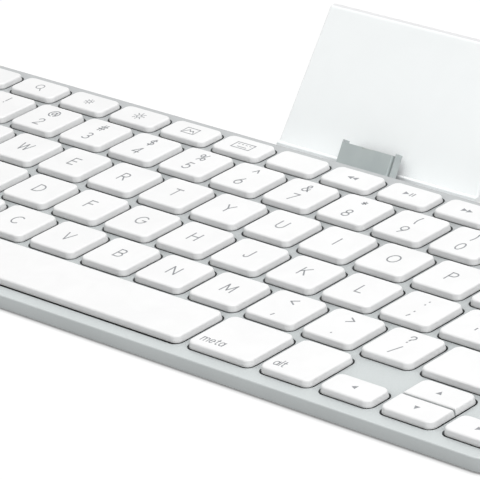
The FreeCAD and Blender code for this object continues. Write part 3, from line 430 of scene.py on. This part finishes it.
# width | path | path ...: a pair is a point, six numbers are an arc (centre, radii, first and last angle), and
# a path that starts with # is filled
glyphs = {
    "A": ".72|0,0 .36,1 .72,0|.13,.36 .59,.36",
    "B": ".6|0,0 0,1 .3,1 .3,.76,.25,.24,90,-90 0,.52|.3,.52 .33,.26,.27,.26,90,-90 0,0",
    "C": ".78|.42,.5,.42,.5,50,310", "D": ".74|0,0 0,1 .26,1 .26,.5,.48,.5,90,-90 0,0",
    "E": ".54|.54,1 0,1 0,0 .54,0|0,.52 .48,.52", "F": ".52|.52,1 0,1 0,0|0,.52 .46,.52",
    "G": ".84|.42,.5,.42,.5,48,352|.5,.46 .84,.46", "H": ".68|0,0 0,1|.68,0 .68,1|0,.52 .68,.52",
    "I": "0|0,0 0,1", "J": ".4|.4,1 .4,.24 .2,.24,.2,.24,0,-170", "K": ".62|0,0 0,1|.6,1 0,.42|.19,.6 .62,0",
    "L": ".5|0,1 0,0 .5,0", "M": ".86|0,0 .06,1 .43,.18 .8,1 .86,0", "N": ".7|0,0 0,1 .7,0 .7,1",
    "O": ".88|.44,.5,.44,.5,90,450", "P": ".57|0,0 0,1 .3,1 .3,.74,.27,.26,90,-90 0,.48",
    "Q": ".88|.44,.5,.44,.5,90,450|.54,.26 .88,-.06",
    "R": ".6|0,0 0,1 .3,1 .3,.74,.27,.26,90,-90 0,.48|.27,.48 .6,0",
    "S": ".58|.3,.745,.26,.255,35,270 .3,.245,.29,.245,90,-145", "T": ".64|0,1 .64,1|.32,1 .32,0",
    "U": ".66|0,1 0,.33 .33,.33,.33,.33,180,360 .66,1", "V": ".7|0,1 .35,0 .7,1",
    "W": "1.02|0,1 .26,0 .51,.92 .76,0 1.02,1", "X": ".66|0,0 .64,1|.02,1 .66,0",
    "Y": ".68|0,1 .34,.48 .68,1|.34,.48 .34,0", "Z": ".62|.02,1 .6,1 0,0 .62,0",
    "0": ".58|.29,.5,.29,.5,90,450", "1": ".24|0,.8 .24,1 .24,0", "2": ".56|.28,.72,.26,.28,165,-38 0,0 .56,0",
    "3": ".56|.26,.75,.24,.25,145,-90 .27,.25,.28,.25,90,-150", "4": ".62|.46,0 .46,1 0,.28 .62,.28",
    "5": ".56|.5,1 .12,1 .06,.54 .26,.31,.29,.31,125,-150",
    "6": ".58|.29,.31,.29,.31,90,450|.44,1 .2,.66 .03,.42", "7": ".56|0,1 .56,1 .16,0",
    "8": ".56|.28,.755,.23,.245,90,450|.28,.255,.28,.255,90,450",
    "9": ".58|.29,.69,.29,.31,90,450|.55,.58 .38,.34 .14,0", "!": "0|0,1 0,.3|0,.06 0,0",
    "@": ".96|.48,.48,.48,.5,-60,270|.48,.48,.2,.22,0,360|.68,.68 .68,.34 .82,.26",
    "#": ".7|.18,0 .3,1|.44,0 .56,1|.03,.34 .66,.34|.06,.68 .7,.68",
    "$": ".56|.28,.7,.24,.2,35,270 .28,.3,.26,.2,90,-145|.28,1.08 .28,-.08",
    "%": ".8|.18,.78,.17,.21,0,360|.62,.22,.17,.21,0,360|.68,1 .12,0", "^": ".5|0,.55 .25,1 .5,.55",
    "&": ".68|.68,0 .19,.66 .31,.8,.16,.2,210,-30 .14,.46 .27,.24,.26,.24,125,325 .64,.42",
    "*": ".4|.2,.52 .2,1|0,.64 .4,.88|0,.88 .4,.64", "(": ".14|.5,.5,.5,.85,140,220",
    ")": ".14|-.36,.5,.5,.85,40,-40", "_": ".6|0,-.04 .6,-.04", "+": ".6|.3,.18 .3,.82|0,.5 .6,.5",
    "-": ".42|0,.45 .42,.45", "=": ".56|0,.34 .56,.34|0,.62 .56,.62",
    "{": ".3|.3,1.04 .16,.98 .15,.62 0,.5 .15,.38 .16,.02 .3,-.04",
    "}": ".3|0,1.04 .14,.98 .15,.62 .3,.5 .15,.38 .14,.02 0,-.04", "[": ".24|.24,1.04 0,1.04 0,-.04 .24,-.04",
    "]": ".24|0,1.04 .24,1.04 .24,-.04 0,-.04", "bar": "0|0,1.08 0,-.1", "\\": ".36|0,1 .36,0",
    ":": "0|0,.68 0,.62|0,.16 0,.1", ";": ".08|.08,.68 .08,.62|.08,.14 .08,.06 0,-.12",
    "\"": ".2|0,1 0,.72|.2,1 .2,.72", "'": "0|0,1 0,.72", "<": ".52|.52,.84 0,.5 .52,.16",
    ">": ".52|0,.84 .52,.5 0,.16", ",": ".08|.08,.08 .08,.02 0,-.16", ".": "0|0,.06 0,0",
    "?": ".48|.24,.75,.23,.25,170,-60 .24,.42 .24,.28|.24,.06 .24,0", "/": ".36|0,-.05 .36,1.05",
    "~": ".6|0,.42 .14,.58 .3,.5 .46,.42 .6,.58", "`": ".18|0,1 .18,.76",
    "a": ".5|.24,.34,.24,.34,0,360|.5,.7 .5,0", "b": ".5|0,1.05 0,0|.26,.34,.24,.34,0,360",
    "c": ".46|.26,.34,.26,.34,50,310", "d": ".5|.24,.34,.24,.34,0,360|.5,1.05 .5,0",
    "e": ".5|.02,.36 .49,.36 .25,.34,.25,.34,5,315", "f": ".34|.26,.86,.14,.18,60,180 .12,0|0,.66 .3,.66",
    "h": ".46|0,1.05 0,0|0,.42 .23,.42,.23,.26,180,0 .46,0", "i": "0|0,.68 0,0|0,.98 0,.92",
    "l": "0|0,1.05 0,0",
    "m": ".78|0,.68 0,0|0,.46 .195,.46,.195,.22,180,0 .39,0|.39,.46 .585,.46,.195,.22,180,0 .78,0",
    "n": ".46|0,.68 0,0|0,.42 .23,.42,.23,.26,180,0 .46,0", "p": ".5|0,.68 0,-.32|.26,.34,.24,.34,0,360",
    "r": ".28|0,.68 0,0|0,.4 .2,.44,.2,.24,180,70", "s": ".4|.2,.51,.17,.17,40,270 .2,.17,.2,.17,90,-150",
    "t": ".3|.12,.95 .12,.16 .26,.16,.14,.16,180,290|0,.68 .3,.68",
    "house": ".9|0,.45 .45,.92 .9,.45|.14,.5 .14,.05 .76,.05 .76,.5",
    "lens": ".84|.34,.6,.32,.34,0,360|.56,.36 .84,.02",
    "dim": "1|.5,.5,.17,.17,0,360|.5,.8 .5,.88|.5,.2 .5,.12|.8,.5 .88,.5|.2,.5 .12,.5|.71,.71 .77,.77|"
           ".29,.71 .23,.77|.71,.29 .77,.23|.29,.29 .23,.23",
    "bright": "1|.5,.5,.2,.2,0,360|.5,.82 .5,1|.5,.18 .5,0|.82,.5 1,.5|.18,.5 0,.5|.73,.73 .86,.86|"
              ".27,.73 .14,.86|.73,.27 .86,.14|.27,.27 .14,.14",
    "picture": "1.2|0,.08 0,.92 1.2,.92 1.2,.08 0,.08|.14,.24 .44,.66 .66,.4 .82,.56 1.06,.24",
    "board": "1.7|0,.08 0,.92 1.7,.92 1.7,.08 0,.08|.24,.68 .36,.68|.6,.68 .72,.68|.96,.68 1.08,.68|"
             "1.32,.68 1.44,.68|.44,.3 1.26,.3",
    "back": "1.2|#0,.5 .6,.2 .6,.8|#.6,.5 1.2,.2 1.2,.8", "ahead": "1.2|#0,.2 .6,.5 0,.8|#.6,.2 1.2,.5 .6,.8",
    "play": "1.2|#0,.2 .6,.5 0,.8|#.76,.2 .9,.2 .9,.8 .76,.8|#1.06,.2 1.2,.2 1.2,.8 1.06,.8",
    "hush": ".5|#0,.36 .2,.36 .5,.1 .5,.9 .2,.64 0,.64",
    "softer": ".75|#0,.36 .2,.36 .5,.1 .5,.9 .2,.64 0,.64|.5,.5,.25,.28,-55,55",
    "louder": "1|#0,.36 .2,.36 .5,.1 .5,.9 .2,.64 0,.64|.5,.5,.25,.28,-55,55|.5,.5,.48,.5,-55,55",
    "padlock": ".8|#.08,.02 .72,.02 .72,.52 .08,.52|.4,.52,.22,.4,0,180", "toLeft": ".8|#0,.5 .8,.05 .8,.95",
    "toRight": ".8|#0,.05 .8,.5 0,.95", "toTop": ".9|#0,.1 .9,.1 .45,.9", "toFront": ".9|#0,.9 .45,.1 .9,.9",
}


# a written path to points: pairs as they are, an arc as centre plus radii times the cosine and sine of even angles
def pathPoints(text, v):
    runs = []
    for word in text.split():
        n = [float(t) for t in word.split(",")]
        if len(n) == 2:
            runs.append(np.array([n]))
        else:
            count = max(v["arcLeast"], int(abs(n[5] - n[4]) / v["arcStep"]) + 1)
            turn = np.radians(np.linspace(n[4], n[5], count))
            runs.append(np.column_stack([n[0] + n[2] * np.cos(turn), n[1] + n[3] * np.sin(turn)]))
    points = np.vstack(runs)
    return points[np.r_[True, np.linalg.norm(np.diff(points, axis=0), axis=1) > v["apart"]]]


# each row divided by its own length
def unitRows(rows):
    return rows / np.linalg.norm(rows, axis=1, keepdims=True)


# the line cut where one step turns away from the last by more than the bend
def smoothStretches(points, v):
    step = unitRows(np.diff(points, axis=0))
    turn = np.arccos(np.clip((step[1:] * step[:-1]).sum(1), -1, 1))
    cuts = [0, *(np.flatnonzero(turn > v["bend"]) + 1), len(points) - 1]
    return [points[a:b + 1] for a, b in zip(cuts[:-1], cuts[1:])]


# a flat bar carried along a line: each point moved half a width to both sides along the line's normal, low and high
def inkBar(points, width, low, high, v):
    closed = len(points) > 3 and np.allclose(points[0], points[-1])
    if closed:
        points = points[:-1]
        ahead = unitRows(np.roll(points, -1, 0) - points)
        behind = np.roll(ahead, 1, 0)
    else:
        step = unitRows(np.diff(points, axis=0))
        points = points.copy()
        points[0] -= step[0] * width * v["runOn"]
        points[-1] += step[-1] * width * v["runOn"]
        ahead, behind = np.vstack([step, step[-1:]]), np.vstack([step[:1], step])
    along = unitRows(ahead + behind)
    side = np.column_stack([-along[:, 1], along[:, 0]])
    side *= width / 2 / np.maximum((along * ahead).sum(1), v["mitre"])[:, None]
    count = len(points)
    ring = np.empty((count, 4, 3))
    ring[:, [0, 3], :2] = (points - side)[:, None]
    ring[:, [1, 2], :2] = (points + side)[:, None]
    ring[:, :2, 2], ring[:, 2:, 2] = low, high
    first = np.arange(count if closed else count - 1)[:, None] * 4
    after = (first + 4) % (count * 4)
    corner = np.arange(4)[None]
    beside = (corner + 1) % 4
    faces = np.stack([first + corner, first + beside, after + beside, after + corner], -1).reshape(-1, 4).tolist()
    if not closed:
        faces += [[3, 2, 1, 0], [count * 4 - n for n in (4, 3, 2, 1)]]
    return ring.reshape(-1, 3), faces


# a filled shape: its outline at the low and the high level, closed by a side face for each edge
def inkPatch(points, low, high):
    ahead = np.roll(points, -1, 0)
    if (points[:, 0] * ahead[:, 1] - ahead[:, 0] * points[:, 1]).sum() < 0:
        points = points[::-1]
    count = len(points)
    both = [np.column_stack([points, np.full(count, level)]) for level in (low, high)]
    return np.vstack(both), prismFaces(count)


# signs in a row on a cap, in mm: hold is the share of the row's width that lies left of the place
def inkSigns(words, height, width, place, hold, v):
    shapes = [glyphs[w].split("|") for w in words]
    spans = np.array([float(s[0]) * height for s in shapes])
    gap = v["gap"] * height
    starts = place[0] - hold * (spans.sum() + gap * (len(spans) - 1)) + np.r_[0, np.cumsum(spans + gap)[:-1]]
    levels = -v["sunk"], v["proud"]
    made = []
    for shape, start in zip(shapes, starts):
        for text in shape[1:]:
            points = pathPoints(text.lstrip("#"), inkValues) * height + [start, place[1] - height / 2]
            if text.startswith("#"):
                made.append(inkPatch(points, *levels))
            else:
                stretches = smoothStretches(points, inkValues)
                made += [inkBar(stretch, width, *levels, inkValues) for stretch in stretches]
    return made


# the deck's own directions, read from a key's press: across, towards the back, and square off the deck
press = np.array(frame["joints"][0]["axis"], float)
deckUp = -press / np.linalg.norm(press)
deckAxes = np.stack([np.array([1.0, 0, 0]), np.cross(deckUp, [1.0, 0, 0]), deckUp])
# the narrowest bare strip between two caps and the slack for a face at a cap's edge, metres
capValues = {"strip": 0.0008, "slack": 1e-5}


# stretches covered by faces, told apart by the bare strips between them: a new one starts past all earlier ends
def coveredSpans(low, high, v):
    order = np.argsort(low)
    low, high = low[order], np.maximum.accumulate(high[order])
    cut = np.flatnonzero(low[1:] > high[:-1] + v["strip"])
    return list(zip(low[np.r_[0, cut + 1]], high[np.r_[cut, len(high) - 1]]))


# each cap's top of a key node, back row first and left to right: middle across, middle along, level, half width and
# half depth, from the spans that the node's faces cover
def capTops(node, v):
    mesh = nodes[node].data
    corners = np.empty(len(mesh.loops), np.int32)
    mesh.loops.foreach_get("vertex_index", corners)
    faces = (nodePoints(node) @ deckAxes.T)[corners].reshape(-1, 3, 3)
    low, high = faces.min(1), faces.max(1)
    tops = []
    for front, back in reversed(coveredSpans(low[:, 1], high[:, 1], v)):
        row = (low[:, 1] > front - v["slack"]) & (high[:, 1] < back + v["slack"])
        level = high[row, 2].max()
        for left, right in coveredSpans(low[row, 0], high[row, 0], v):
            tops.append(((left + right) / 2, (front + back) / 2, level, (right - left) / 2, (back - front) / 2))
    return tops


# a word near the front edge of a cap, at its left (-1) or its right (1)
def keyWord(text, side):
    return [("word", list(text), side)]


# what each cap carries, in the order of capTops
legendPlan = {"key_" + c: [[("letter", [c.upper()])]] for c in "abcdefghijklmnopqrstuvwxyz"}
digitSigns = list(zip("1234567890", "!@#$%^&*()"))
symbolSigns = [("`", "~"), ("-", "_"), ("=", "+"), ("[", "{"), ("]", "}"), ("\\", "bar"),
               (";", ":"), ("'", "\""), (",", "<"), (".", ">"), ("/", "?")]
for node, pairs in (("digit_keys", digitSigns), ("symbol_keys", symbolSigns)):
    legendPlan[node] = [[("figure", [a]), ("sign", [b])] for a, b in pairs]
pictures = [[("picture", [n])] for n in ("house", "lens", "dim", "bright", "picture", "board")]
icons = [[("icon", [n])] for n in ("back", "play", "ahead", "hush", "softer", "louder", "padlock")]
legendPlan["function_keys"] = pictures + [[]] + icons
controlWords = [("delete", 1), ("tab", -1), ("caps", -1), ("enter", 1), ("shift", -1), ("shift", 1),
                ("fn", -1), ("ctrl", -1), ("alt", -1), ("meta", 1), ("meta", -1), ("alt", -1)]
legendPlan["control_keys"] = [keyWord(text, side) for text, side in controlWords]
arrowSigns = {"left": "toLeft", "right": "toRight", "up": "toTop", "down": "toFront"}
legendPlan.update({"arrow_%s_key" % way: [[("arrow", [n])]] for way, n in arrowSigns.items()})


# one piece of ink per key node: each sign laid out in mm about its cap's middle, then set on the cap's top by the
# deck's directions
def makeLegends(node, plan, v):
    points, faces, count = [], [], 0
    for (across, along, level, halfWide, halfDeep), signs in zip(capTops(node, capValues), plan):
        for kind, words, *rest in signs:
            place, hold = [0.0, 0.0], 0.5
            if kind in ("figure", "sign"):
                place[1] = v[kind + "Shift"]
            elif kind == "word":
                side = rest[0]
                place = [side * (halfWide * 1000 - v["edge"]), v["edge"] + v["word"] / 2 - halfDeep * 1000]
                hold = 0.5 + side / 2
            line = v["fine"] if kind in ("word", "icon", "picture") else v["line"]
            for bars, sides in inkSigns(words, v[kind], line, place, hold, v):
                points.append((bars / 1000 + [across, along, level]) @ deckAxes)
                faces += [[n + count for n in face] for face in sides]
                count += len(bars)
    piece = linkMesh("legend_" + node, np.vstack(points), faces)
    piece.data.materials.append(materials["legendInk"])
    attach(piece, node)


for node, plan in legendPlan.items():
    makeLegends(node, plan, legendValues)
print("legends on,", len(legendPlan))
